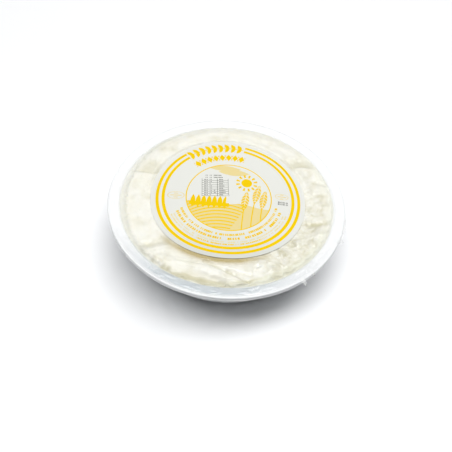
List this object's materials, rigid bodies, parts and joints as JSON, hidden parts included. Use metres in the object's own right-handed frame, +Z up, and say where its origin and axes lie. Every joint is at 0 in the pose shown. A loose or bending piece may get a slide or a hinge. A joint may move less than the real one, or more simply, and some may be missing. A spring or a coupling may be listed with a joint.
{
  "type": "goat ricotta in sealed tub",
  "caption": "Fresh goat ricotta in a round white plastic tub with a wide flange, sealed with clear film under a round paper label.",
  "frame": {"origin": "centre of the tub's flat base, on the surface it stands on", "axes": "+Z up through the label, -Y towards the front of the label, where its lifted edge is, +X to the right seen from the front"},
  "size_m": [0.19, 0.19, 0.0476],
  "materials": {
    "tub": "white moulded polypropylene, satin",
    "cheese": "moist fresh curd, ivory white",
    "film": "clear sealing film, glossy, wrinkled",
    "label": "coated label paper, white with yellow print"
  },
  "bodies": {
    "root": {"tub": "tub", "ricotta": "cheese", "film": "film", "label": "label"}
  },
  "joints": []
}
